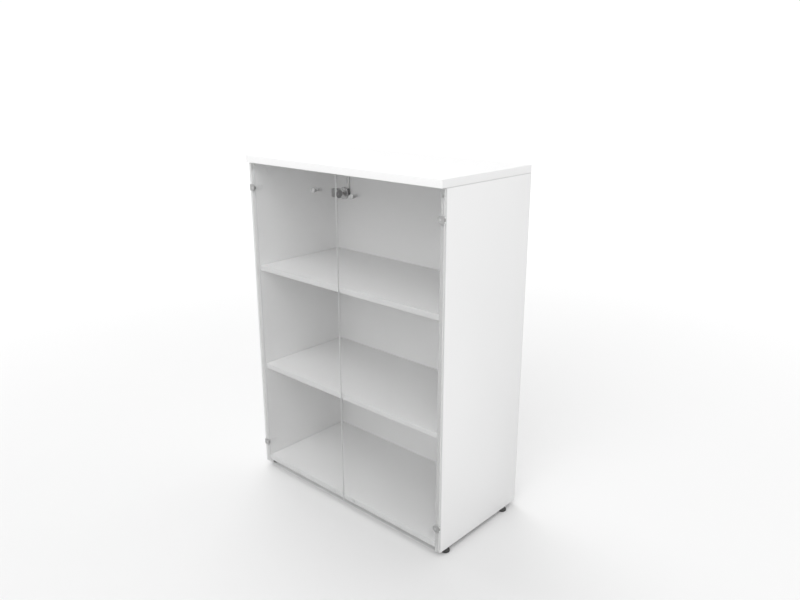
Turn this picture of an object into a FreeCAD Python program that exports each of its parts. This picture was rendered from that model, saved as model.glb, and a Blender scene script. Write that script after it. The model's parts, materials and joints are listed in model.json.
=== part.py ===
import FreeCAD, Part
import math
import os
from FreeCAD import Vector

# Low office cabinet with two overlay glass doors, millimetres, +Z up, +Y towards the back.
# Everything is drawn with y = 0 on the outer face of the closed glass and x = 0 on the door
# seam. On export it is moved along Y so that the origin is under the middle of its bounding box.

# ---- driving dimensions --------------------------------------------------------------------
WIDTH = 800.0              # carcass, outside
HEIGHT = 1100.0            # floor to top surface
TOP_DEPTH = 400.0
TOP_T = 22.0
BOARD_T = 18.0             # sides, bottom and shelves
BACK_T = 8.0
TOP_OVERHANG = 12.0        # front edge of the top in front of the glass
FOOT_GAP = 13.0            # floor to the bottom edge of the sides
PLINTH_REVEAL = 13.0       # bottom edge of the sides to the underside of the bottom panel
BACK_INSET = 19.0          # rear edge of the sides to the rear face of the back panel
GROOVE = 6.0
EDGE_R = 1.0               # rounding of the 2 mm edging

GLASS_T = 4.0
CARCASS_GAP = 2.5          # glass to the front edges of the carcass
SIDE_REVEAL = 1.0          # outer edge of a door inside the outer face of the side
SEAM_GAP = 3.0
DOOR_BOTTOM_REVEAL = 5.0
DOOR_TOP_GAP = 3.0
SHELF_SETBACK = 4.0
LOWER_SHELF_Z = 376.0      # undersides
UPPER_SHELF_Z = 723.0
PAD_T = 0.3                # thin gaskets between metal and glass

HINGE_FROM_EDGE = 81.0     # hinge centre from the top and bottom ends of a side
PIN_R = 1.0
KNUCKLE_R = 2.0
KNUCKLE_HALF_H = 8.5
CAP_HALF_H = 10.0
CAP_W = 22.5
CAP_T = 2.5
LEAF_T = 1.6
LEAF_DEPTH = 28.0
SCREW_R = 1.75

KNOB_X = 80.0
KNOB_DROP = 55.0           # centre below the underside of the top
KNOB_R = 6.5
KNOB_REACH = 16.0

LOCK_X = 36.0
LOCK_DROP = 52.0
FLANGE_R = 17.0
FLANGE_T = 4.0
NECK_R = 9.0
PLUG_R = 6.0
RUNNING = 0.05             # radial clearance of anything that turns in a bore
CAM_REACH = 46.0
CAM_HALF_W = 6.0
CAM_Y = 17.0
CAM_T = 2.0
KEY_REACH = 31.0

FOOT_R = 14.0
FOOT_FROM_FRONT = 34.5     # centre behind the front edge of the side
FOOT_FROM_BACK = 58.0
STEM_R = 4.0

# ---- derived planes ------------------------------------------------------------------------
HALF = WIDTH / 2
SIDE_IN = HALF - BOARD_T
SIDE_Z0 = FOOT_GAP
SIDE_Z1 = HEIGHT - TOP_T
BODY_Y0 = GLASS_T + CARCASS_GAP
BODY_Y1 = TOP_DEPTH - TOP_OVERHANG
BACK_Y1 = BODY_Y1 - BACK_INSET
BACK_Y0 = BACK_Y1 - BACK_T
BOTTOM_Z0 = SIDE_Z0 + PLINTH_REVEAL
BOTTOM_Z1 = BOTTOM_Z0 + BOARD_T
SIDE_MID = HALF - BOARD_T / 2
DOOR_X = HALF - SIDE_REVEAL
DOOR_Z0 = SIDE_Z0 + DOOR_BOTTOM_REVEAL
DOOR_Z1 = SIDE_Z1 - DOOR_TOP_GAP
AXIS_X = HALF - KNUCKLE_R - 0.3
AXIS_Y = BODY_Y0 - KNUCKLE_R - 0.25
HINGE_Z = {"upper": SIDE_Z1 - HINGE_FROM_EDGE, "lower": SIDE_Z0 + HINGE_FROM_EDGE}
CLAMP_X = HALF - CAP_W + CAP_HALF_H
KNOB_Z = SIDE_Z1 - KNOB_DROP
LOCK_Z = SIDE_Z1 - LOCK_DROP
FOOT_Y = {"front": BODY_Y0 + FOOT_FROM_FRONT, "rear": BODY_Y1 - FOOT_FROM_BACK}
Y_MID = (BODY_Y1 - KEY_REACH) / 2

# Joinery, as places along the depth of the cabinet
CAM_FIT_Y = (60.0, 300.0)
DOWEL_Y = (28.0, 200.0, 350.0)
SHELF_PIN_Y = (60.0, 312.0)
CAM_FIT_R = 7.5
CAM_FIT_DEPTH = 12.5
CAM_FIT_FROM_END = 34.0
BOLT_R = 3.0
DOWEL_R = 4.0
JOINT_DEPTH = 11.0         # bolts and dowels into the faces of the boards
SLEEVE_R = 5.5
SLEEVE_H = 14.0
STEM_TOP = 40.0
HINGE_SCREW_Y = (15.5, 26.0)
HINGE_SCREW_TIP = 14.0

X, Y, Z = Vector(1, 0, 0), Vector(0, 1, 0), Vector(0, 0, 1)


# ---- small helpers -------------------------------------------------------------------------
def box(x0, x1, y0, y1, z0, z1):
    return Part.makeBox(x1 - x0, y1 - y0, z1 - z0, Vector(x0, y0, z0))


def cyl(radius, start, end):
    """A cylinder from one point to another."""
    way = end - start
    return Part.makeCylinder(radius, way.Length, start, way)


def cone(radius0, radius1, start, end):
    way = end - start
    return Part.makeCone(radius0, radius1, way.Length, start, way)


def fuse(first, *others):
    return first.multiFuse(list(others)).removeSplitter()


def mirrored(shape):
    return shape.mirror(Vector(0, 0, 0), X)


def both_sides(shapes):
    return list(shapes) + [mirrored(s) for s in shapes]


def round_edges(shape, radius, wanted):
    return shape.makeFillet(radius, [e for e in shape.Edges if wanted(e)])


def save(name, shapes):
    """Write one node. Several separate solids share a node as a compound."""
    shapes = shapes if isinstance(shapes, list) else [shapes]
    solids = [s.translated(Vector(0, -Y_MID, 0)) for shape in shapes for s in shape.Solids]
    for solid in solids:
        assert solid.isValid(), name
    whole = solids[0] if len(solids) == 1 else Part.makeCompound(solids)
    whole.exportStep(f"parts/{name}.step")


# ---- joinery: solids on the left (x < 0), also used to cut their own holes ------------------
def dowels():
    low = [cyl(DOWEL_R, Vector(-SIDE_IN - JOINT_DEPTH, y, BOTTOM_Z0 + BOARD_T / 2),
               Vector(-SIDE_IN + BOARD_T, y, BOTTOM_Z0 + BOARD_T / 2)) for y in DOWEL_Y]
    high = [cyl(DOWEL_R, Vector(-SIDE_MID, y, SIDE_Z1 - BOARD_T),
                Vector(-SIDE_MID, y, SIDE_Z1 + JOINT_DEPTH)) for y in DOWEL_Y]
    return low + high


def cam_bolts():
    reach = CAM_FIT_FROM_END - 2.0
    z = BOTTOM_Z0 + BOARD_T / 2
    low = [cyl(BOLT_R, Vector(-SIDE_IN - JOINT_DEPTH, y, z), Vector(-SIDE_IN + reach, y, z))
           for y in CAM_FIT_Y]
    high = [cyl(BOLT_R, Vector(-SIDE_MID, y, SIDE_Z1 - reach),
                Vector(-SIDE_MID, y, SIDE_Z1 + JOINT_DEPTH)) for y in CAM_FIT_Y]
    return low + high


def cam_pockets():
    low = [cyl(CAM_FIT_R, Vector(-SIDE_IN + CAM_FIT_FROM_END, y, BOTTOM_Z0),
               Vector(-SIDE_IN + CAM_FIT_FROM_END, y, BOTTOM_Z0 + CAM_FIT_DEPTH)) for y in CAM_FIT_Y]
    high = [cyl(CAM_FIT_R, Vector(-SIDE_IN, y, SIDE_Z1 - CAM_FIT_FROM_END),
                Vector(-SIDE_IN - CAM_FIT_DEPTH, y, SIDE_Z1 - CAM_FIT_FROM_END)) for y in CAM_FIT_Y]
    return low + high


def cam_fittings():
    """Eccentric housings: the pocket's solid, open for the bolt and slotted for a screwdriver."""
    slot = 1.2
    made = []
    for pocket in cam_pockets():
        c = pocket.BoundBox.Center
        if abs(c.z - BOTTOM_Z0) < BOARD_T:
            cross = [box(c.x - 4.5, c.x + 4.5, c.y - slot / 2, c.y + slot / 2, BOTTOM_Z0, BOTTOM_Z0 + 2),
                     box(c.x - slot / 2, c.x + slot / 2, c.y - 4.5, c.y + 4.5, BOTTOM_Z0, BOTTOM_Z0 + 2)]
        else:
            cross = [box(-SIDE_IN - 2, -SIDE_IN, c.y - 4.5, c.y + 4.5, c.z - slot / 2, c.z + slot / 2),
                     box(-SIDE_IN - 2, -SIDE_IN, c.y - slot / 2, c.y + slot / 2, c.z - 4.5, c.z + 4.5)]
        made.append(pocket.cut(cam_bolts() + cross))
    return made


def cover_caps():
    """White caps over the housings inside the cabinet, each pressed in by a small cross."""
    radius, thick, arm, half = CAM_FIT_R + 1.0, 0.8, 4.3, 0.5
    made = []
    for y in CAM_FIT_Y:
        face = Vector(-SIDE_IN, y, SIDE_Z1 - CAM_FIT_FROM_END)
        disc = cyl(radius, face, face + X * thick)
        disc = round_edges(disc, 0.5, lambda e: e.BoundBox.XMin > face.x + thick - 0.1
                           and e.BoundBox.XLength < 0.01)
        cross = [box(face.x - 1.6, face.x, y - arm, y + arm, face.z - half, face.z + half),
                 box(face.x - 1.6, face.x, y - half, y + half, face.z - arm, face.z + arm)]
        made.append(fuse(disc, *cross))
    return made


def foot_places():
    return [Vector(-SIDE_MID, y, 0) for y in FOOT_Y.values()]


def sleeve_pockets():
    made = []
    for p in foot_places():
        made.append(cyl(SLEEVE_R, p + Z * SIDE_Z0, p + Z * (SIDE_Z0 + SLEEVE_H)))
        made.append(cyl(STEM_R + 0.3, p + Z * (SIDE_Z0 + SLEEVE_H), p + Z * (STEM_TOP + 3)))
    return made


def foot_sleeves():
    return [cyl(SLEEVE_R, p + Z * SIDE_Z0, p + Z * (SIDE_Z0 + SLEEVE_H)).cut(
        cyl(STEM_R + RUNNING, p, p + Z * HEIGHT)) for p in foot_places()]


def shelf_pins(shelf_z):
    """Plug in the side and a lug under the shelf, front and rear."""
    pin_z = shelf_z - 3.0
    made = []
    for y in SHELF_PIN_Y:
        plug = cyl(2.5, Vector(-SIDE_IN - 9, y, pin_z), Vector(-SIDE_IN, y, pin_z))
        lug = box(-SIDE_IN, -SIDE_IN + 9, y - 4, y + 4, shelf_z - 6, shelf_z)
        lug = round_edges(lug, 2.5, lambda e: abs(e.BoundBox.ZMax - (shelf_z - 6)) < 0.01
                          and e.BoundBox.XLength > 5)
        made.append(fuse(plug, lug))
    return made


# ---- hinges: left side, upper or lower -----------------------------------------------------
def knuckle(radius, z0, z1):
    return cyl(radius, Vector(-AXIS_X, AXIS_Y, z0), Vector(-AXIS_X, AXIS_Y, z1))


def hinge_screws(zc):
    """Countersunk wood screws through the leaf into the side."""
    made = []
    for y in HINGE_SCREW_Y:
        face = Vector(-SIDE_IN + LEAF_T, y, zc)
        head = cone(3.2, SCREW_R, face, face - X * (LEAF_T - 0.1))
        shank = cyl(SCREW_R, face - X * (LEAF_T - 0.1), face - X * HINGE_SCREW_TIP)
        recess = box(face.x - 0.9, face.x, y - 2.0, y + 2.0, zc - 0.4, zc + 0.4)
        cross = box(face.x - 0.9, face.x, y - 0.4, y + 0.4, zc - 2.0, zc + 2.0)
        made.append(fuse(head, shank).cut([recess, cross]))
    return made


def hinge_screw_holes(zc):
    made = []
    for y in HINGE_SCREW_Y:
        face = Vector(-SIDE_IN + LEAF_T, y, zc)
        made += [cone(3.2, SCREW_R, face, face - X * (LEAF_T - 0.1)),
                 cyl(SCREW_R, face - X * (LEAF_T - 0.1), face - X * HINGE_SCREW_TIP)]
    return made


def hinge_leaf(zc):
    """Fixed leaf: screwed plate, two tabs across the front edge of the side, two knuckles."""
    z0, z1 = zc - KNUCKLE_HALF_H, zc + KNUCKLE_HALF_H
    tab_y0, tab_y1 = BODY_Y0 - 0.3 - 1.5, BODY_Y0 - 0.3
    middle = 4.3
    plate = box(-SIDE_IN, -SIDE_IN + LEAF_T, tab_y0, tab_y0 + LEAF_DEPTH + 2, z0, z1)
    plate = round_edges(plate, 3.0, lambda e: e.BoundBox.XLength > 1 and e.BoundBox.YLength < 0.1
                        and e.BoundBox.YMin > tab_y1)
    tabs = []
    for a, b in ((z0, zc - middle), (zc + middle, z1)):
        tabs.append(box(-AXIS_X, -SIDE_IN + LEAF_T, tab_y0, tab_y1, a, b))
        tabs.append(knuckle(KNUCKLE_R, a, b))
    whole = fuse(plate, *tabs)
    window = box(-HALF, -SIDE_IN + LEAF_T + 1, tab_y0 - 3, BODY_Y0, zc - middle, zc + middle)
    return whole.cut([window, knuckle(PIN_R, z0, z1)] + hinge_screw_holes(zc))


def hinge_pin(zc):
    """Pin pressed into the fixed knuckles, with a slightly domed head at the top."""
    stem = knuckle(PIN_R, zc - KNUCKLE_HALF_H, zc + KNUCKLE_HALF_H)
    head = knuckle(KNUCKLE_R - 0.2, zc + KNUCKLE_HALF_H, zc + KNUCKLE_HALF_H + 0.2)
    return fuse(stem, head)


def hinge_tongue(zc):
    """Moving leaf: knuckle and a tongue behind the glass, drilled for the clamp screw."""
    half = 4.0
    y0 = GLASS_T + PAD_T
    plate = box(-AXIS_X, -HALF + CAP_W, y0, y0 + LEAF_T, zc - half, zc + half)
    plate = round_edges(plate, 2.5, lambda e: e.BoundBox.YLength > 1 and e.BoundBox.XLength < 0.1
                        and e.BoundBox.XMin > -AXIS_X + 1)
    whole = fuse(plate, knuckle(KNUCKLE_R, zc - half, zc + half))
    return whole.cut([knuckle(PIN_R + RUNNING, zc - half, zc + half)] + clamp_screw_solid(zc))


def clamp_screw_solid(zc):
    y1 = GLASS_T + PAD_T + LEAF_T
    return [cone(2.75, 1.5, Vector(-CLAMP_X, y1, zc), Vector(-CLAMP_X, y1 - LEAF_T, zc)),
            cyl(1.5, Vector(-CLAMP_X, y1 - LEAF_T, zc), Vector(-CLAMP_X, -1.2, zc))]


def clamp_screw(zc):
    y1 = GLASS_T + PAD_T + LEAF_T
    slot = box(-CLAMP_X - 0.35, -CLAMP_X + 0.35, y1 - 0.7, y1, zc - 3, zc + 3)
    return fuse(*clamp_screw_solid(zc)).cut(slot)


def d_outline(zc, y0, y1, inset=0.0):
    """D-shaped slab: straight at the outer edge of the cabinet, round towards the door."""
    r = CAP_HALF_H - inset
    mid = -HALF + CAP_W - CAP_HALF_H
    slab = box(-HALF + inset, mid, y0, y1, zc - r, zc + r)
    return fuse(slab, cyl(r, Vector(mid, y0, zc), Vector(mid, y1, zc)))


def hinge_cap(zc):
    cap = d_outline(zc, -CAP_T, -PAD_T)
    cap = round_edges(cap, 0.8, lambda e: abs(e.BoundBox.YMax + CAP_T) < 0.01
                      and e.BoundBox.YLength < 0.01)
    boss = cyl(2.9, Vector(-CLAMP_X, -PAD_T, zc), Vector(-CLAMP_X, GLASS_T - 0.1, zc))
    return fuse(cap, boss).cut(clamp_screw_solid(zc))


def hinge_gaskets(zc):
    hole = cyl(2.95, Vector(-CLAMP_X, -1, zc), Vector(-CLAMP_X, GLASS_T + 1, zc))
    notch = glass_notch(zc)
    outer = d_outline(zc, -PAD_T, 0, 0.5).cut([hole, notch])
    inner = box(-HALF + 5.5, -HALF + CAP_W - 1, GLASS_T, GLASS_T + PAD_T, zc - 3.8, zc + 3.8)
    return [outer, inner.cut(hole)]


def glass_notch(zc):
    half = KNUCKLE_HALF_H + 0.4
    return box(-HALF - 1, -AXIS_X + KNUCKLE_R + 0.5, -1, GLASS_T + 1, zc - half, zc + half)


# ---- doors ---------------------------------------------------------------------------------
def glass_door():
    """Left door; its mirror image is the right one before the lock hole is cut."""
    pane = box(-DOOR_X, -SEAM_GAP / 2, 0, GLASS_T, DOOR_Z0, DOOR_Z1)
    pane = round_edges(pane, 0.6, lambda e: e.BoundBox.YLength < 0.01)
    holes = [cyl(2.75, Vector(-KNOB_X, -1, KNOB_Z), Vector(-KNOB_X, GLASS_T + 1, KNOB_Z))]
    for zc in HINGE_Z.values():
        holes.append(glass_notch(zc))
        holes.append(cyl(3.1, Vector(-CLAMP_X, -1, zc), Vector(-CLAMP_X, GLASS_T + 1, zc)))
    return pane.cut(holes)


def knob():
    at = Vector(-KNOB_X, 0, KNOB_Z)
    neck_y, front_y = -6.0, -KNOB_REACH
    body = cyl(KNOB_R, at + Y * neck_y, at + Y * front_y)
    body = round_edges(body, 1.5, lambda e: e.BoundBox.YLength < 0.01)
    neck = cyl(3.5, at - Y * PAD_T, at + Y * (neck_y - 1))
    base = cyl(4.6, at - Y * PAD_T, at - Y * 1.8)
    return fuse(body, neck, base).cut(cyl(2.0, at, at - Y * 9.0))


def knob_screw():
    at = Vector(-KNOB_X, GLASS_T + PAD_T, KNOB_Z)
    head = cyl(4.4, at, at + Y * 2.4)
    head = round_edges(head, 1.0, lambda e: e.BoundBox.YMin > at.y + 2 and e.BoundBox.YLength < 0.01)
    shank = cyl(2.0, at, Vector(-KNOB_X, -8.5, KNOB_Z))
    top = at.y + 2.4
    cross = [box(at.x - 2.2, at.x + 2.2, top - 1.2, top, at.z - 0.5, at.z + 0.5),
             box(at.x - 0.5, at.x + 0.5, top - 1.2, top, at.z - 2.2, at.z + 2.2)]
    return fuse(head, shank).cut(cross)


def knob_gaskets():
    made = []
    for y0, y1 in ((-PAD_T, 0.0), (GLASS_T, GLASS_T + PAD_T)):
        ring = cyl(4.6, Vector(-KNOB_X, y0, KNOB_Z), Vector(-KNOB_X, y1, KNOB_Z))
        made.append(ring.cut(cyl(2.1, Vector(-KNOB_X, -2, KNOB_Z), Vector(-KNOB_X, 8, KNOB_Z))))
    return made


# ---- lock on the right door, keeper on the left door ---------------------------------------
LOCK = Vector(LOCK_X, 0, LOCK_Z)
NECK_Y1 = CAM_Y - 1.0
NUT_Y0 = GLASS_T + PAD_T


def lock_housing():
    """Outer flange, neck through the glass, bore for the plug."""
    flange = cyl(FLANGE_R, LOCK - Y * PAD_T, LOCK - Y * FLANGE_T)
    flange = round_edges(flange, 1.5, lambda e: e.BoundBox.YMax < -FLANGE_T + 0.1
                         and e.BoundBox.YLength < 0.01)
    neck = cyl(NECK_R, LOCK - Y * PAD_T, LOCK + Y * NECK_Y1)
    return fuse(flange, neck).cut(cyl(PLUG_R + RUNNING, LOCK - Y * 10, LOCK + Y * 30))


def lock_nut():
    """Hexagonal nut that clamps the housing to the glass from inside."""
    corner = 14.0
    points = [Vector(LOCK_X + corner * math.cos(math.radians(60 * k)), NUT_Y0,
                     LOCK_Z + corner * math.sin(math.radians(60 * k))) for k in range(6)]
    hexagon = Part.Face(Part.makePolygon(points + [points[0]])).extrude(Y * 4.0)
    return hexagon.cut(cyl(NECK_R, LOCK, LOCK + Y * 30))


def lock_gaskets():
    outer = cyl(FLANGE_R - 0.5, LOCK - Y * PAD_T, LOCK)
    inner = cyl(11.5, LOCK + Y * GLASS_T, LOCK + Y * NUT_Y0)
    hole = cyl(NECK_R + 0.2, LOCK - Y * 5, LOCK + Y * 10)
    return [outer.cut(hole), inner.cut(hole)]


def lock_plug():
    """Cylinder plug with a front rim, a square tail for the cam and the keyway."""
    body = cyl(PLUG_R, LOCK - Y * (FLANGE_T + 0.1), LOCK + Y * (NECK_Y1 + 0.5))
    rim = cyl(PLUG_R + 1.5, LOCK - Y * (FLANGE_T + 1.6), LOCK - Y * (FLANGE_T + 0.1))
    rim = round_edges(rim, 0.6, lambda e: e.BoundBox.YMax < -FLANGE_T - 1.5
                      and e.BoundBox.YLength < 0.01)
    tail = box(LOCK_X - 3.5, LOCK_X + 3.5, NECK_Y1, CAM_Y + CAM_T, LOCK_Z - 3.5, LOCK_Z + 3.5)
    keyway = box(LOCK_X - 1.15, LOCK_X + 1.15, -10, 13.0, LOCK_Z - 3.9, LOCK_Z + 3.9)
    thread = cyl(1.5, LOCK + Y * 14.0, LOCK + Y * 30)
    return fuse(body, rim, tail).cut([keyway, thread])


def lock_cam():
    """Flat cam on the square tail; it points up when the lock is open."""
    boss = cyl(8.0, LOCK + Y * CAM_Y, LOCK + Y * (CAM_Y + CAM_T))
    arm = box(LOCK_X - CAM_HALF_W, LOCK_X + CAM_HALF_W, CAM_Y, CAM_Y + CAM_T,
              LOCK_Z, LOCK_Z + CAM_REACH)
    arm = round_edges(arm, 4.0, lambda e: e.BoundBox.ZMin > LOCK_Z + 1 and e.BoundBox.XLength < 0.1)
    square = box(LOCK_X - 3.5, LOCK_X + 3.5, CAM_Y - 1, CAM_Y + CAM_T + 1, LOCK_Z - 3.5, LOCK_Z + 3.5)
    return fuse(boss, arm).cut(square)


def cam_screw():
    y = CAM_Y + CAM_T
    head = cyl(5.0, LOCK + Y * y, LOCK + Y * (y + 2.2))
    head = round_edges(head, 0.8, lambda e: e.BoundBox.YMin > y + 2 and e.BoundBox.YLength < 0.01)
    slot = box(LOCK_X - 4.0, LOCK_X + 4.0, y + 1.2, y + 2.2, LOCK_Z - 0.6, LOCK_Z + 0.6)
    return fuse(head, cyl(1.5, LOCK + Y * 14.5, LOCK + Y * y)).cut(slot)


def key_blade():
    """Flat blade with cut bits along one edge and a tang inside the key's head."""
    y_tip, y_tang = 12.0, -12.0
    blade = box(LOCK_X - 1.05, LOCK_X + 1.05, -9.0, y_tip, LOCK_Z - 3.8, LOCK_Z + 3.8)
    tang = box(LOCK_X - 0.8, LOCK_X + 0.8, y_tang, -9.0, LOCK_Z - 3.0, LOCK_Z + 3.0)
    bits = [cyl(1.0, Vector(LOCK_X - 2, y, LOCK_Z - 4.0), Vector(LOCK_X + 2, y, LOCK_Z - 4.0))
            for y in (-2.0, 1.0, 4.0, 7.0)]
    return fuse(blade, tang).cut(bits)


def key_head():
    """Oval moulded head with a hole for a ring."""
    half_y, half_z, thick = 11.0, 12.0, 3.0
    centre = Vector(LOCK_X, -KEY_REACH + half_y, LOCK_Z)
    outline = Part.Wire(Part.Edge(Part.Ellipse(Vector(0, 0, 0), half_z, half_y)))
    disc = Part.Face(outline).extrude(Z * thick)
    disc.Placement = FreeCAD.Placement(centre - X * thick / 2, FreeCAD.Rotation(Y, 90))
    disc = round_edges(disc, 0.8, lambda e: e.BoundBox.XLength < 0.01)
    hole = cyl(3.0, centre - Y * 4.5 - X * 5, centre - Y * 4.5 + X * 5)
    tang = box(LOCK_X - 0.8, LOCK_X + 0.8, -12.0, 0, LOCK_Z - 3.0, LOCK_Z + 3.0)
    return disc.cut([hole, tang])


def lock_keeper():
    """Slotted block behind the left pane: the cam drops into it from above."""
    x0, x1 = -SEAM_GAP / 2 - 18.5, -SEAM_GAP / 2 - 0.5
    z0, z1 = LOCK_Z - 17.0, LOCK_Z + 7.0
    y0, y1 = GLASS_T + 2 * PAD_T, CAM_Y + CAM_T + 2.6
    block = box(x0, x1, y0, y1, z0, z1)
    block = round_edges(block, 2.0, lambda e: e.BoundBox.YLength > 5 and e.BoundBox.XMax < x0 + 1)
    slot = box(x0 + 4.5, x1 + 1, CAM_Y - 0.6, CAM_Y + CAM_T + 0.6, z0 + 7.0, z1 + 1)
    return block.cut(slot), box(x0 + 0.5, x1 - 0.5, GLASS_T, y0, z0 + 0.5, z1 - 0.5)


# ---- feet and bumpers ----------------------------------------------------------------------
def foot(place):
    """Levelling glide: round pad, cone, hexagonal collar and threaded stem (drawn plain)."""
    pad = cyl(FOOT_R, place, place + Z * 6.0)
    pad = round_edges(pad, 1.2, lambda e: e.BoundBox.ZLength < 0.01)
    flare = cone(FOOT_R - 1.2, 9.0, place + Z * 6.0, place + Z * 9.0)
    corner = 8.0
    points = [place + Vector(corner * math.cos(math.radians(60 * k)),
                             corner * math.sin(math.radians(60 * k)), 9.0) for k in range(6)]
    collar = Part.Face(Part.makePolygon(points + [points[0]])).extrude(Z * (SIDE_Z0 - 0.4 - 9.0))
    stem = cyl(STEM_R, place + Z * 8.0, place + Z * STEM_TOP)
    return fuse(pad, flare, collar, stem)


def door_bumpers():
    """Two soft discs on the bottom panel near the seam and one high on each side, all left."""
    places = [(-45.0, BOTTOM_Z0 + BOARD_T / 2), (-SIDE_MID, SIDE_Z1 - 20.0)]
    return [cyl(4.0, Vector(x, BODY_Y0, z), Vector(x, GLASS_T + 0.3, z)) for x, z in places]


# ---- boards --------------------------------------------------------------------------------
def top_panel():
    slab = box(-HALF, HALF, -TOP_OVERHANG, BODY_Y1, SIDE_Z1, HEIGHT)
    slab = round_edges(slab, EDGE_R, lambda e: e.BoundBox.ZMin > HEIGHT - 0.1 or e.BoundBox.ZLength > 5)
    groove = box(-SIDE_IN - GROOVE, SIDE_IN + GROOVE, BACK_Y0, BACK_Y1, SIDE_Z1, SIDE_Z1 + GROOVE)
    return slab.cut([groove] + both_sides(dowels() + cam_bolts()))


def side_panel():
    slab = box(-HALF, -SIDE_IN, BODY_Y0, BODY_Y1, SIDE_Z0, SIDE_Z1)
    slab = round_edges(slab, 0.6, lambda e: e.BoundBox.ZLength > 100)
    groove = box(-SIDE_IN - GROOVE, -SIDE_IN + 1, BACK_Y0, BACK_Y1, BOTTOM_Z1 - GROOVE, SIDE_Z1 + 1)
    tools = [groove] + dowels() + cam_bolts() + cam_pockets() + sleeve_pockets()
    tools += shelf_pins(LOWER_SHELF_Z) + shelf_pins(UPPER_SHELF_Z)
    for zc in HINGE_Z.values():
        tools += hinge_screw_holes(zc)
    return slab.cut(tools)


def bottom_panel():
    slab = box(-SIDE_IN, SIDE_IN, BODY_Y0, BODY_Y1, BOTTOM_Z0, BOTTOM_Z1)
    groove = box(-SIDE_IN, SIDE_IN, BACK_Y0, BACK_Y1, BOTTOM_Z1 - GROOVE, BOTTOM_Z1)
    return slab.cut([groove] + both_sides(dowels() + cam_bolts() + cam_pockets()))


def back_panel():
    slack = 0.4
    return box(-SIDE_IN - GROOVE + slack, SIDE_IN + GROOVE - slack, BACK_Y0 + 0.1, BACK_Y1 - 0.1,
               BOTTOM_Z1 - GROOVE + slack, SIDE_Z1 + GROOVE - slack)


def shelf(z):
    slab = box(-SIDE_IN + 0.8, SIDE_IN - 0.8, BODY_Y0 + SHELF_SETBACK, BACK_Y0 - 1.0, z, z + BOARD_T)
    return round_edges(slab, 0.6, lambda e: e.BoundBox.XLength > 100 and e.BoundBox.YMax < 100)


# ---- write every node ----------------------------------------------------------------------
def save_carcass():
    save("top_panel", top_panel())
    left = side_panel()
    save("left_side_panel", left)
    save("right_side_panel", mirrored(left))
    save("bottom_panel", bottom_panel())
    save("back_panel", back_panel())
    for name, z in (("lower", LOWER_SHELF_Z), ("upper", UPPER_SHELF_Z)):
        save(f"{name}_shelf", shelf(z))
        save(f"{name}_shelf_pins", both_sides(shelf_pins(z)))
    save("wooden_dowels", both_sides(dowels()))
    save("cam_bolts", both_sides(cam_bolts()))
    save("cam_fittings", both_sides(cam_fittings()))
    save("cam_cover_caps", both_sides(cover_caps()))
    save("foot_sleeves", both_sides(foot_sleeves()))
    save("door_bumpers", both_sides(door_bumpers()))


def save_feet():
    for row, y in FOOT_Y.items():
        left = foot(Vector(-SIDE_MID, y, 0))
        save(f"{row}_left_foot", left)
        save(f"{row}_right_foot", mirrored(left))


def save_hinges():
    for side, turn in (("left", lambda s: s), ("right", mirrored)):
        for level, zc in HINGE_Z.items():
            save(f"{level}_{side}_hinge_leaf", turn(hinge_leaf(zc)))
            save(f"{level}_{side}_hinge_tongue", turn(hinge_tongue(zc)))
            save(f"{level}_{side}_hinge_cap", turn(hinge_cap(zc)))
        levels = HINGE_Z.values()
        save(f"{side}_hinge_pins", [turn(hinge_pin(z)) for z in levels])
        save(f"{side}_leaf_screws", [turn(s) for z in levels for s in hinge_screws(z)])
        save(f"{side}_clamp_screws", [turn(clamp_screw(z)) for z in levels])
        save(f"{side}_hinge_gaskets", [turn(s) for z in levels for s in hinge_gaskets(z)])


def save_doors():
    door = glass_door()
    lock_hole = cyl(NECK_R + 0.5, LOCK - Y * 5, LOCK + Y * 10)
    save("left_glass_door", door)
    save("right_glass_door", mirrored(door).cut(lock_hole))
    for side, turn in (("left", lambda s: s), ("right", mirrored)):
        save(f"{side}_knob", turn(knob()))
        save(f"{side}_knob_screw", turn(knob_screw()))
        save(f"{side}_knob_gaskets", [turn(s) for s in knob_gaskets()])


def save_lock():
    save("lock_housing", lock_housing())
    save("lock_nut", lock_nut())
    save("lock_gaskets", lock_gaskets())
    save("lock_plug", lock_plug())
    save("lock_cam", lock_cam())
    save("cam_screw", cam_screw())
    save("key_blade", key_blade())
    save("key_head", key_head())
    keeper, pad = lock_keeper()
    save("lock_keeper", keeper)
    save("keeper_pad", pad)


os.makedirs("parts", exist_ok=True)
save_carcass()
save_feet()
save_hinges()
save_doors()
save_lock()
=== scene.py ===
import json
import math

import bmesh
import bpy
from mathutils import Euler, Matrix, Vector


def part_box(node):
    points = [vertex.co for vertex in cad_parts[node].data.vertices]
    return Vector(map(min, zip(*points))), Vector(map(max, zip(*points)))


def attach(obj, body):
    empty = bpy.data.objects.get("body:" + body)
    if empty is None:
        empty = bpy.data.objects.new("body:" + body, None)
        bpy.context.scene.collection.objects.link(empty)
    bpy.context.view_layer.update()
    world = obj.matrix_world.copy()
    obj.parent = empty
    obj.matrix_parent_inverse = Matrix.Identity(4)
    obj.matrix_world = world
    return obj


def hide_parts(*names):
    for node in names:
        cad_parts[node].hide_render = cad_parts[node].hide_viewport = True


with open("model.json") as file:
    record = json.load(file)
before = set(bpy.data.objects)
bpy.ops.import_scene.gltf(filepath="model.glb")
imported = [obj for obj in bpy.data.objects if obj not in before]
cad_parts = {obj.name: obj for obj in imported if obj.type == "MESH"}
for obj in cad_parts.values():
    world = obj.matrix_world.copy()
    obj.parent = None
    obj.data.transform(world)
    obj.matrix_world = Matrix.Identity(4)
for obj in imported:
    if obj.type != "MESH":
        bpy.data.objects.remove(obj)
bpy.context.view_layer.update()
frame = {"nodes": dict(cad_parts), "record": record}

MM = 0.001
AXES = "xyz"

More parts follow.
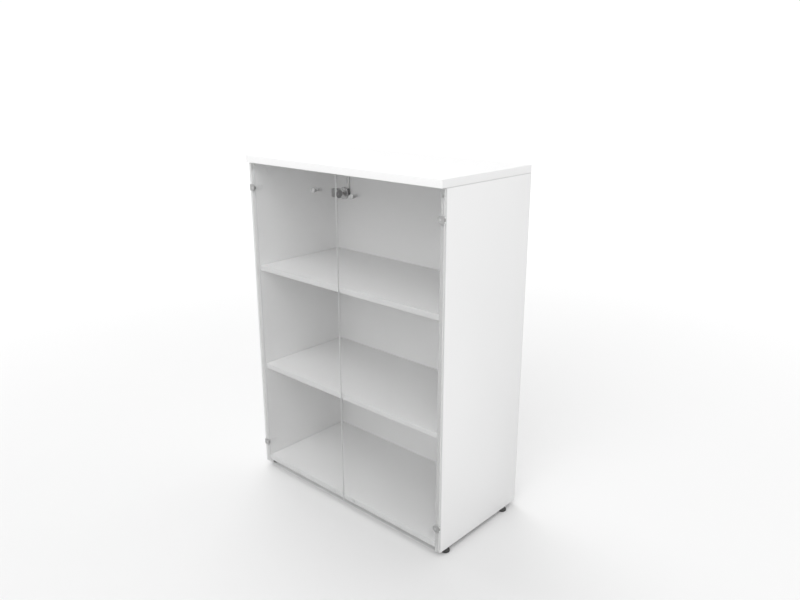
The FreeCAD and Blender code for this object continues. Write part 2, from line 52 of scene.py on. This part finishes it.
# Boards: a melamine face, a hairline joint and a rounded edging strip all round
BAND_T = 2.0 * MM
BAND_R = 1.2 * MM
BACK_BAND_R = 0.5 * MM
CORNER_R = 2.0 * MM
CORNER_R_MIN = 0.2 * MM
JOINT_W = 0.15 * MM
JOINT_D = 0.12 * MM
ARC_STEPS = 4
CORNER_STEPS = 5

# Turned pieces: points round each
TURNED_STEPS = 48
LOCK_STEPS = 64
PAD_STEPS = 144
HEXAGON_STEPS = 6
STEM_STEPS = 24

# Doors and their fittings
FLAT_COS = 0.99                  # faces of the glass that count as its two large ones
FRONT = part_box("left_glass_door")[0][1]
GASKET_T = 0.3 * MM
CAP_R = 10.0 * MM
CAP_OUTER = 400.0 * MM
CAP_MID = 387.5 * MM             # the clamp screw, in the middle of the cap's round end
CAP_SQUARENESS = 14              # how tightly the two square corners of a cap are rounded
CAP_STEPS = 88
CAP_EDGE_R = 0.8 * MM
CAP_BOSS_R = 2.9 * MM

# Key head
KEY_STEPS = 48
KEY_HOLE_FORWARD = 4.5 * MM      # the ring's hole is this far in front of the middle

# Levelling glides, in mm
THREAD_PITCH = 1.25
THREAD_FROM = 13.0
THREAD_ROOT = 3.4
THREAD_CREST = 4.0
THREAD_RISE = 0.45               # from root to crest
STEM_TIP_R = 2.8
STEM_TIP = 1.0
PAD_R = 14.0
RIB_COUNT = 36
RIB_DEPTH = 0.012                # as a share of the pad's radius

# Noise is used over its middle range
NOISE_LOW = 0.3
NOISE_HIGH = 0.7

# Studio
EYE = (1.5631, -1.6172, 1.3668)
AZIMUTH = math.radians(42.43)
PITCH = math.radians(17.41)
LENS_MM = 33.565
SENSOR_MM = 36.0
CLIP_END = 200.0
AMBIENT = 0.64
BACKDROP = 1.02                  # what the camera and mirror-like faces see past the floor
FLOOR_NEAR_PAINTED_SHADE = 0.83                # painted shade: the floor's colour is darker near the cabinet and pales towards the backdrop
FLOOR_FAR = 0.95
FADE_START = 1.0
FADE_END = 4.5
FLOOR_REACH = 40.0
FLOOR_DROP = 0.5 * MM            # keeps the floor clear of the feet
SOFT_BOXES = (                   # name, direction of travel, spread in degrees, strength
    ("rear_soft_box", (1.1, -0.5, -2.0), 40.0, 0.75),
    ("front_soft_box", (-0.35, 1.0, -0.95), 50.0, 0.95),
    ("top_soft_box", (0.0, 0.1, -1.0), 90.0, 0.25),
)


# ---- nodes for materials -------------------------------------------------------------------
class Shader:
    """A material with one Principled shader and a few short ways to feed it."""

    def __init__(self, name, colour, roughness, metallic=0.0):
        self.material = bpy.data.materials.new(name)
        self.material.use_nodes = True
        self.tree = self.material.node_tree
        self.bsdf = self.tree.nodes["Principled BSDF"]
        self.bsdf.inputs["Base Color"].default_value = (*colour, 1.0)
        self.bsdf.inputs["Roughness"].default_value = roughness
        self.bsdf.inputs["Metallic"].default_value = metallic
        self.material.diffuse_color = (*colour, 1.0)

    def node(self, kind, **values):
        made = self.tree.nodes.new(kind)
        for key, value in values.items():
            if key in made.inputs:
                made.inputs[key].default_value = value
            else:
                setattr(made, key, value)
        return made

    def link(self, source, target):
        self.tree.links.new(source, target)

    def noise(self, scale, detail=3.0, stretch=(1.0, 1.0, 1.0)):
        """Noise over the object's own metres, drawn out along an axis with a stretch under 1."""
        place = self.node("ShaderNodeTexCoord")
        mapping = self.node("ShaderNodeMapping")
        mapping.inputs["Scale"].default_value = stretch
        noise = self.node("ShaderNodeTexNoise", Scale=scale, Detail=detail)
        self.link(place.outputs["Object"], mapping.inputs["Vector"])
        self.link(mapping.outputs["Vector"], noise.inputs["Vector"])
        return noise.outputs["Fac"]

    def between(self, factor, low, high):
        """A number from low to high as the noise goes through its middle range."""
        span = {"From Min": NOISE_LOW, "From Max": NOISE_HIGH, "To Min": low, "To Max": high}
        ranged = self.node("ShaderNodeMapRange", **span)
        self.link(factor, ranged.inputs["Value"])
        return ranged.outputs["Result"]

    def colour_ramp(self, factor, *stops):
        ramp = self.node("ShaderNodeValToRGB")
        for element, (position, colour) in zip(ramp.color_ramp.elements, stops):
            element.position = position
            element.color = (*colour, 1.0)
        self.link(factor, ramp.inputs["Fac"])
        self.link(ramp.outputs["Color"], self.bsdf.inputs["Base Color"])

    def mottle(self, factor, low, high):
        """Base colour from low to high over the same range of the noise."""
        self.colour_ramp(factor, (NOISE_LOW, low), (NOISE_HIGH, high))

    def rough(self, factor, low, high):
        self.link(self.between(factor, low, high), self.bsdf.inputs["Roughness"])

    def bump(self, factor, height, strength=1.0):
        made = self.node("ShaderNodeBump", Strength=strength, Distance=height)
        self.link(factor, made.inputs["Height"])
        self.link(made.outputs["Normal"], self.bsdf.inputs["Normal"])


def grey(value, warm=0.0):
    return (value + warm, value, value - warm)


def melamine(name, value):
    """White melamine: a fine pearl, faintly uneven sheen, almost no colour change."""
    s = Shader(name, grey(value), 0.45)
    s.mottle(s.noise(2.2, 2.0), grey(value - 0.012), grey(value + 0.006))
    s.rough(s.noise(60.0, 3.0), 0.40, 0.52)
    s.bump(s.noise(1400.0, 2.0), 0.05 * MM, 0.35)
    return s.material


def edging(name, value):
    """ABS edging: a little smoother than the board, with faint lines from extrusion."""
    s = Shader(name, grey(value), 0.35)
    s.mottle(s.noise(5.0, 2.0), grey(value - 0.01), grey(value))
    s.rough(s.noise(200.0, 2.0), 0.30, 0.40)
    s.bump(s.noise(900.0, 2.0, (0.05, 0.05, 1.0)), 0.03 * MM, 0.3)
    return s.material


def pane_glass(value):
    """Clear toughened glass that lets the studio light through to what is behind it."""
    per_face = math.sqrt(value)
    tint = (value, value * 1.004, value * 1.002)
    s = Shader("clear_glass", tint, 0.0)
    s.bsdf.inputs["Transmission Weight"].default_value = 1.0
    s.bsdf.inputs["IOR"].default_value = 1.5
    s.mottle(s.noise(1.5, 1.0), grey(value - 0.006), tint)
    output = s.tree.nodes["Material Output"]
    through = s.node("ShaderNodeBsdfTransparent")
    through.inputs["Color"].default_value = (*grey(per_face), 1.0)
    path = s.node("ShaderNodeLightPath")
    mix = s.node("ShaderNodeMixShader")
    s.link(path.outputs["Is Shadow Ray"], mix.inputs["Fac"])
    s.link(s.bsdf.outputs["BSDF"], mix.inputs[1])
    s.link(through.outputs["BSDF"], mix.inputs[2])
    s.link(mix.outputs["Shader"], output.inputs["Surface"])
    return s.material


def ground_edge(value):
    """Seamed and polished edge of the glass: it scatters light, so it looks solid and pale."""
    s = Shader("ground_glass_edge", (value * 0.98, value, value * 0.99), 0.3)
    s.mottle(s.noise(90.0, 2.0, (1.0, 1.0, 0.2)), grey(value * 0.95),
             (value, value * 1.02, value * 1.01))
    s.rough(s.noise(400.0, 2.0), 0.22, 0.38)
    s.bump(s.noise(1600.0, 2.0, (0.1, 1.0, 0.1)), 0.03 * MM, 0.3)
    return s.material


def painted(name, value):
    """Powder coat: a fine orange peel over an even white."""
    s = Shader(name, grey(value), 0.42)
    s.mottle(s.noise(40.0, 2.0), grey(value * 0.985), grey(value))
    s.rough(s.noise(150.0, 2.0), 0.36, 0.48)
    s.bump(s.noise(700.0, 2.0), 0.05 * MM, 0.4)
    return s.material


def satin_metal(name, value, roughness, lines=(1.0, 1.0, 0.08), warm=0.0):
    """Plated or brushed metal with fine drawn lines and patches of handling."""
    s = Shader(name, grey(value, warm), roughness, 1.0)
    s.mottle(s.noise(45.0, 3.0), grey(value * 0.93, warm), grey(value, warm))
    s.rough(s.noise(350.0, 4.0), roughness * 0.8, roughness * 1.25)
    s.bump(s.noise(2600.0, 2.0, lines), 0.02 * MM, 0.35)
    return s.material


def moulded(name, value, roughness, grain=1800.0):
    """Moulded plastic with a fine spark-eroded grain."""
    s = Shader(name, grey(value), roughness)
    s.mottle(s.noise(70.0, 2.0), grey(value * 0.9), grey(value * 1.08))
    s.rough(s.noise(240.0, 2.0), roughness * 0.85, min(1.0, roughness * 1.15))
    s.bump(s.noise(grain, 3.0), 0.05 * MM, 0.4)
    return s.material


def soft_clear(name):
    """Translucent soft plastic for gaskets and bumpers."""
    s = Shader(name, grey(0.78), 0.35)
    s.bsdf.inputs["Transmission Weight"].default_value = 0.5
    s.mottle(s.noise(300.0, 2.0), grey(0.74), grey(0.80))
    s.bump(s.noise(1500.0, 2.0), 0.02 * MM, 0.3)
    return s.material


def beech(name):
    """Beech dowel: straight grain along the pin with darker pores."""
    s = Shader(name, (0.62, 0.44, 0.26), 0.6)
    s.mottle(s.noise(700.0, 4.0, (0.1, 1.0, 0.1)), (0.50, 0.33, 0.18), (0.68, 0.50, 0.31))
    s.bump(s.noise(1500.0, 3.0, (0.1, 1.0, 0.1)), 0.06 * MM, 0.5)
    return s.material


# ---- mesh building -------------------------------------------------------------------------
def add_object(name, data):
    made = bpy.data.objects.new(name, data)
    bpy.context.scene.collection.objects.link(made)
    return made


def finish_mesh(name, bm, materials, smooth_deg=35.0):
    bmesh.ops.remove_doubles(bm, verts=bm.verts, dist=1e-7)
    bmesh.ops.recalc_face_normals(bm, faces=bm.faces)
    mesh = bpy.data.meshes.new(name)
    bm.to_mesh(mesh)
    bm.free()
    for polygon in mesh.polygons:
        polygon.use_smooth = True
    mesh.set_sharp_from_angle(angle=math.radians(smooth_deg))
    for material in materials:
        mesh.materials.append(material)
    return add_object(name, mesh)


def add_loft(bm, rings, material_of=None, closed=False):
    """Skin a list of rings of equal length. Open ends get a cap; a closed list joins up."""
    rows = [[bm.verts.new(p) for p in ring] for ring in rings]
    count = len(rows[0])
    spans = len(rows) if closed else len(rows) - 1
    for k in range(spans):
        low, high = rows[k], rows[(k + 1) % len(rows)]
        for i in range(count):
            j = (i + 1) % count
            face = bm.faces.new((low[i], low[j], high[j], high[i]))
            face.material_index = material_of(k) if material_of else 0
    if not closed:
        for row, k in ((rows[0], 0), (rows[-1], spans - 1)):
            face = bm.faces.new(row)
            face.material_index = material_of(k) if material_of else 0


def rounded_rectangle(u0, u1, v0, v1, radius, steps=CORNER_STEPS):
    corners = ((u1 - radius, v1 - radius, 0), (u0 + radius, v1 - radius, 90),
               (u0 + radius, v0 + radius, 180), (u1 - radius, v0 + radius, 270))
    points = []
    for cu, cv, start in corners:
        for k in range(steps + 1):
            a = math.radians(start + 90 * k / steps)
            points.append((cu + radius * math.cos(a), cv + radius * math.sin(a)))
    return points


def placed(axis, u, v, n):
    """A point from its place along the normal axis and the two axes that follow it."""
    k = AXES.index(axis)
    point = [0.0, 0.0, 0.0]
    point[k] = n
    point[(k + 1) % 3] = u
    point[(k + 2) % 3] = v
    return tuple(point)


def arc(radius, steps=ARC_STEPS):
    """(inset, height) pairs of a rounded edge, from the face to the side."""
    made = []
    for k in range(steps + 1):
        a = math.radians(90 * k / steps)
        made.append((radius * (1 - math.sin(a)), radius * (1 - math.cos(a))))
    return made


def banded_board(name, node, axis, strip, radius=BAND_R, slot="board"):
    """A board as large as its CAD solid, with edging strips and a hairline joint beside them."""
    low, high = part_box(node)
    k = AXES.index(axis)
    a, b = (k + 1) % 3, (k + 2) % 3
    joint = [(BAND_T + JOINT_W, 0.0), (BAND_T, JOINT_D), (BAND_T - JOINT_W, 0.0)]
    edge = joint + arc(radius)
    rows = [(inset, low[k] + height) for inset, height in edge]
    rows += [(inset, high[k] - height) for inset, height in reversed(edge)]
    rings = []
    for inset, n in rows:
        outline = rounded_rectangle(low[a] + inset, high[a] - inset,
                                    low[b] + inset, high[b] - inset,
                                    max(CORNER_R - inset, CORNER_R_MIN))
        rings.append([placed(axis, u, v, n) for u, v in outline])
    bm = bmesh.new()
    last = len(rings) - 2
    add_loft(bm, rings, lambda i: 0 if i in (0, last) else 1)
    keep(finish_mesh(name, bm, [BOARD, strip]), "carcass", slot, node)


def lathe_rings(profile_mm, start, centre, axis, steps=TURNED_STEPS, ripple=None):
    """Rings round a centre, from (radius, distance from start along the axis) pairs in mm."""
    rings = []
    for radius_mm, along_mm in profile_mm:
        radius, along = radius_mm * MM, start + along_mm * MM
        ring = []
        for k in range(steps):
            a = 2 * math.pi * k / steps
            r = radius * (1 + (ripple(a, radius) if ripple else 0.0))
            offset = Vector(placed(axis, r * math.cos(a), r * math.sin(a), along))
            ring.append(tuple(centre + offset))
        rings.append(ring)
    return rings


# ---- pieces --------------------------------------------------------------------------------
def middle(node, along=""):
    """The middle of a node's box, with the named coordinate left at zero."""
    low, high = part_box(node)
    return Vector([0.0 if axis == along else (low[k] + high[k]) / 2
                   for k, axis in enumerate(AXES)])


def keep(piece, body, slot, *nodes):
    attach(piece, body)
    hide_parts(*nodes)


def boards():
    banded_board("top_board", "top_panel", "z", TOP_EDGING_PAINTED_LIGHT)
    banded_board("bottom_board", "bottom_panel", "z", EDGING)
    for side in ("left", "right"):
        banded_board(f"{side}_side_board", f"{side}_side_panel", "x", SIDE_EDGING_PAINTED_SHADE)
    for level in ("upper", "lower"):
        banded_board(f"{level}_shelf_board", f"{level}_shelf", "z", EDGING)
    banded_board("back_board", "back_panel", "y", EDGING, BACK_BAND_R, "back_board")


def pane(side):
    """The door's own glass, with the edges of its outline, notches and holes told apart."""
    node = f"{side}_glass_door"
    mesh = frame["nodes"][node].data.copy()
    mesh.name = f"{side}_glass_pane"
    mesh.materials.clear()
    mesh.materials.append(GLASS)
    mesh.materials.append(GLASS_EDGE)
    for polygon in mesh.polygons:
        polygon.material_index = 0 if abs(polygon.normal.y) > FLAT_COS else 1
    keep(add_object(mesh.name, mesh), f"{side}_door", "glass", node)


def cap_ring(radius_at, y, turn, z_mid):
    ring = []
    for k in range(CAP_STEPS):
        a = 2 * math.pi * k / CAP_STEPS
        r = radius_at(a)
        ring.append((turn * (CAP_MID + r * math.cos(a)), y, z_mid + r * math.sin(a)))
    return ring


def d_ring(inset, y, turn, z_mid):
    """D outline: square to the outer edge of the cabinet, round towards the door's middle."""
    half, reach = CAP_R - inset, CAP_OUTER - CAP_MID - inset

    def radius_at(a):
        if math.cos(a) <= 0:
            return half
        up, out = abs(math.sin(a)) / half, math.cos(a) / reach
        return (up ** CAP_SQUARENESS + out ** CAP_SQUARENESS) ** (-1 / CAP_SQUARENESS)

    return cap_ring(radius_at, y, turn, z_mid)


def round_ring(radius, y, turn, z_mid):
    return cap_ring(lambda a: radius, y, turn, z_mid)


def hinge_cap(level, side):
    """Cast cap with a stepped face and a bright cover plug over its screw."""
    # (inset, depth behind the face) of the step, then (radius, depth) of what is round, mm
    step = ((2.0, 0.0), (2.3, 0.3))
    recess = ((3.7, 0.3), (3.4, 0.5), (3.2, 0.5))
    plug = ((3.1, 0.25), (2.6, 0.05), (1.3, 0.0))
    node = f"{level}_{side}_hinge_cap"
    low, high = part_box(node)
    z_mid = (low[2] + high[2]) / 2
    turn = -1.0 if side == "left" else 1.0
    face, back, boss = low[1], FRONT - GASKET_T, high[1]
    rings = [round_ring(CAP_BOSS_R, boss, turn, z_mid), round_ring(CAP_BOSS_R, back, turn, z_mid),
             d_ring(0.0, back, turn, z_mid)]
    rings += [d_ring(i, face + h, turn, z_mid) for i, h in reversed(arc(CAP_EDGE_R))]
    rings += [d_ring(i * MM, face + h * MM, turn, z_mid) for i, h in step]
    rings += [round_ring(r * MM, face + h * MM, turn, z_mid) for r, h in recess + plug]
    first_of_plug = len(rings) - len(plug) - 1
    bm = bmesh.new()
    add_loft(bm, rings, lambda k: 1 if k >= first_of_plug else 0)
    keep(finish_mesh(f"{level}_{side}_cap", bm, [CHROME, PLUG]),
         f"{side}_door", "hinge_chrome", node)


def knob(side):
    """Turned knob: foot, waist and a head with two fine grooves and a dished face."""
    node = f"{side}_knob"
    profile = [(0.01, -0.3), (4.6, -0.3), (4.6, -1.4), (4.2, -1.8), (3.5, -2.4), (3.5, -5.2),
               (3.9, -5.8), (5.0, -6.0), (6.0, -6.4), (6.5, -7.4), (6.5, -9.6), (6.2, -9.8),
               (6.2, -10.1), (6.5, -10.3), (6.5, -11.5), (6.2, -11.7), (6.2, -12.0), (6.5, -12.2),
               (6.5, -14.6), (6.25, -15.4), (5.6, -15.9), (5.0, -16.0), (4.4, -15.85),
               (2.2, -15.4), (0.01, -15.3)]
    bm = bmesh.new()
    add_loft(bm, lathe_rings(profile, FRONT, middle(node, "y"), "y"))
    keep(finish_mesh(f"{side}_turned_knob", bm, [CHROME], 50.0),
         f"{side}_door", "knob_chrome", node)


def lock_body():
    """Lock housing: bevelled flange with a turned ring, and the neck through the glass."""
    neck = (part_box("lock_housing")[1][1] - FRONT) / MM
    profile = [(6.05, -4.0), (7.9, -4.0), (8.2, -3.7), (8.6, -3.7), (8.9, -4.0), (11.6, -4.0),
               (11.9, -3.75), (12.3, -3.75), (12.6, -4.0), (15.5, -4.0), (16.2, -3.8),
               (16.8, -3.2), (17.0, -2.5), (17.0, -0.3), (9.0, -0.3), (9.0, neck - 0.6),
               (8.4, neck), (6.05, neck)]
    bm = bmesh.new()
    rings = lathe_rings(profile, FRONT, middle("lock_housing", "y"), "y", LOCK_STEPS)
    add_loft(bm, rings, closed=True)
    keep(finish_mesh("lock_flange_and_neck", bm, [LOCK_CHROME], 30.0),
         "right_door", "lock_chrome", "lock_housing")


def key_grip():
    """Moulded key head: raised rim, sunk panel and a collared hole for the ring."""
    low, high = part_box("key_head")
    mid = middle("key_head")
    half_y, half_z = (high[1] - low[1]) / 2, (high[2] - low[2]) / 2
    turns = [2 * math.pi * k / KEY_STEPS for k in range(KEY_STEPS)]

    def oval(inset, x):
        return [(mid.x + x, mid.y + (half_y - inset) * math.cos(a),
                 mid.z + (half_z - inset) * math.sin(a)) for a in turns]

    def hole(radius, x):
        return [(mid.x + x, mid.y - KEY_HOLE_FORWARD + radius * math.cos(a),
                 mid.z + radius * math.sin(a)) for a in turns]

    # (shape, its inset or radius, half thickness there), mm
    half = [(oval, 0.0, 0.7), (oval, 0.25, 1.2), (oval, 0.8, 1.5), (oval, 1.7, 1.5),
            (oval, 2.0, 1.2), (hole, 4.1, 1.2), (hole, 3.9, 1.5), (hole, 3.4, 1.5),
            (hole, 3.05, 1.2)]
    rings = [shape(size * MM, x * MM) for shape, size, x in half]
    rings += [shape(size * MM, -x * MM) for shape, size, x in reversed(half)]
    bm = bmesh.new()
    add_loft(bm, rings, closed=True)
    keep(finish_mesh("moulded_key_head", bm, [KEY_GREY], 40.0), "key", "key_plastic", "key_head")


def glide(row, side):
    """Levelling glide: ribbed plastic pad, plated hexagonal collar and threaded stem."""
    node = f"{row}_{side}_foot"
    centre = middle(node, "z")
    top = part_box(node)[1][2] / MM
    pad = [(12.4, 0.0), (13.4, 0.3), (PAD_R, 1.1), (PAD_R, 4.8), (13.6, 5.6), (12.8, 6.0),
           (12.0, 6.3), (9.6, 8.6), (9.0, 9.0)]
    collar = [(7.6, 9.0), (8.0, 9.3), (8.0, 12.3), (7.6, 12.6)]
    stem = [(3.9, 8.9), (3.9, 12.6)]
    z = THREAD_FROM
    while z < top - STEM_TIP:
        stem += [(THREAD_ROOT, z), (THREAD_CREST, z + THREAD_RISE),
                 (THREAD_ROOT, z + 2 * THREAD_RISE)]
        z += THREAD_PITCH
    stem += [(THREAD_ROOT, z), (STEM_TIP_R, top)]

    def ribs(a, radius):
        on_rim = radius >= PAD_R * MM
        return -RIB_DEPTH * (0.5 - 0.5 * math.cos(RIB_COUNT * a)) if on_rim else 0.0

    bm = bmesh.new()
    add_loft(bm, lathe_rings(pad, 0.0, centre, "z", PAD_STEPS, ribs))
    add_loft(bm, lathe_rings(collar, 0.0, centre, "z", HEXAGON_STEPS), lambda k: 1)
    add_loft(bm, lathe_rings(stem, 0.0, centre, "z", STEM_STEPS), lambda k: 1)
    keep(finish_mesh(f"{row}_{side}_levelling_glide", bm, [BLACK, STEEL], 30.0),
         f"{row}_{side}_glide", "foot_plastic", node)


# ---- studio --------------------------------------------------------------------------------
def floor():
    """A pale floor, painted darker near the cabinet as painted shade, that fades into the
    backdrop.
    """
    bm = bmesh.new()
    bmesh.ops.create_grid(bm, x_segments=2, y_segments=2, size=FLOOR_REACH)
    material = Shader("studio_floor", grey(FLOOR_NEAR_PAINTED_SHADE), 0.8)
    material.rough(material.noise(3.0, 2.0), 0.75, 0.85)
    place = material.node("ShaderNodeTexCoord")
    distance = material.node("ShaderNodeVectorMath", operation="LENGTH")
    fade = material.node("ShaderNodeMapRange", interpolation_type="SMOOTHSTEP")
    fade.inputs["From Min"].default_value = FADE_START
    fade.inputs["From Max"].default_value = FADE_END
    material.link(place.outputs["Object"], distance.inputs[0])
    material.link(distance.outputs["Value"], fade.inputs["Value"])
    # painted shade: the floor colour darkens towards the cabinet and pales with distance
    material.colour_ramp(fade.outputs["Result"], (0.0, grey(FLOOR_NEAR_PAINTED_SHADE)), (1.0, grey(FLOOR_FAR)))
    plane = finish_mesh("studio_floor", bm, [material.material])
    plane.location = (0.0, 0.0, -FLOOR_DROP)


def sun(name, travel, spread_deg, strength):
    """A lamp as wide as a soft box and far away, so the light is even all over the floor."""
    data = bpy.data.lights.new(name, "SUN")
    data.angle = math.radians(spread_deg)
    data.energy = strength
    lamp = add_object(name, data)
    lamp.rotation_euler = Vector(travel).to_track_quat("-Z", "Y").to_euler()


def studio_light():
    """Soft boxes, and a white surround that is seen brighter than it lights the cabinet."""
    world = bpy.data.worlds.new("studio")
    world.use_nodes = True
    tree = world.node_tree
    surround = tree.nodes["Background"]
    backdrop = tree.nodes.new("ShaderNodeBackground")
    for background, strength in ((surround, AMBIENT), (backdrop, BACKDROP)):
        background.inputs["Color"].default_value = (1.0, 1.0, 1.0, 1.0)
        background.inputs["Strength"].default_value = strength
    path = tree.nodes.new("ShaderNodeLightPath")
    either = tree.nodes.new("ShaderNodeMath")
    either.operation = "MAXIMUM"
    mix = tree.nodes.new("ShaderNodeMixShader")
    tree.links.new(path.outputs["Is Camera Ray"], either.inputs[0])
    tree.links.new(path.outputs["Is Glossy Ray"], either.inputs[1])
    tree.links.new(either.outputs["Value"], mix.inputs["Fac"])
    tree.links.new(surround.outputs["Background"], mix.inputs[1])
    tree.links.new(backdrop.outputs["Background"], mix.inputs[2])
    tree.links.new(mix.outputs["Shader"], tree.nodes["World Output"].inputs["Surface"])
    bpy.context.scene.world = world
    for soft_box in SOFT_BOXES:
        sun(*soft_box)
    bpy.context.scene.view_settings.view_transform = "Standard"


def camera():
    data = bpy.data.cameras.new("camera")
    data.sensor_width = SENSOR_MM
    data.lens = LENS_MM
    data.clip_end = CLIP_END
    eye = add_object("camera", data)
    eye.location = EYE
    eye.rotation_euler = Euler((math.pi / 2 - PITCH, 0.0, AZIMUTH))
    bpy.context.scene.camera = eye


# ---- finishes ------------------------------------------------------------------------------
BOARD = melamine("white_melamine", 0.92)
# One white ABS edging in three brightnesses: the top's copy is lighter, painted light on its lit
# front edge; the sides' copy is darker, painted shade on their front edges behind the glass; the
# copy for the other boards is darker than the board
TOP_EDGING_PAINTED_LIGHT = edging("abs_edging_of_top_painted_light", 0.90)
EDGING = edging("abs_edging", 0.81)
SIDE_EDGING_PAINTED_SHADE = edging("abs_edging_of_sides_painted_shade", 0.69)
GLASS = pane_glass(0.847)
GLASS_EDGE = ground_edge(0.74)
CHROME = satin_metal("satin_chrome", 0.42, 0.36)
PLUG = satin_metal("bright_cover_plug", 0.56, 0.34)
LOCK_CHROME = satin_metal("lock_chrome", 0.28, 0.28)
STEEL = satin_metal("zinc_plated_steel", 0.40, 0.35)
ZINC = satin_metal("die_cast_zinc", 0.32, 0.42, (1.0, 1.0, 1.0))
WHITE_STEEL = painted("white_powder_coat", 0.88)
WHITE_PLASTIC = moulded("white_cover_plastic", 0.86, 0.4)
BLACK = moulded("black_moulded_plastic", 0.045, 0.55)
KEY_GREY = moulded("key_head_plastic", 0.16, 0.45)
KEY_METAL = satin_metal("nickel_silver_key", 0.45, 0.30, (1.0, 0.08, 1.0), 0.01)
CLEAR = soft_clear("clear_soft_plastic")
BEECH = beech("beech_dowel")

SLOT_MATERIAL = {
    "board": BOARD, "back_board": BOARD, "dowel_wood": BEECH, "zinc": ZINC, "pin_metal": STEEL,
    "glass": GLASS, "foot_plastic": BLACK, "hinge_chrome": CHROME, "knob_chrome": CHROME,
    "lock_chrome": LOCK_CHROME, "steel": STEEL, "gasket": CLEAR, "key_steel": KEY_METAL,
    "key_plastic": KEY_GREY, "white_steel": WHITE_STEEL, "white_plastic": WHITE_PLASTIC,
}


def dress_cad_nodes():
    """Every CAD node gets the finish of its record slot."""
    for part in frame["record"]["subparts"]:
        mesh = frame["nodes"][part["node"]].data
        mesh.materials.clear()
        mesh.materials.append(SLOT_MATERIAL[part["material_slot"]])


dress_cad_nodes()
boards()
for side in ("left", "right"):
    pane(side)
    knob(side)
    for level in ("upper", "lower"):
        hinge_cap(level, side)
    for row in ("front", "rear"):
        glide(row, side)
lock_body()
key_grip()
floor()
studio_light()
camera()
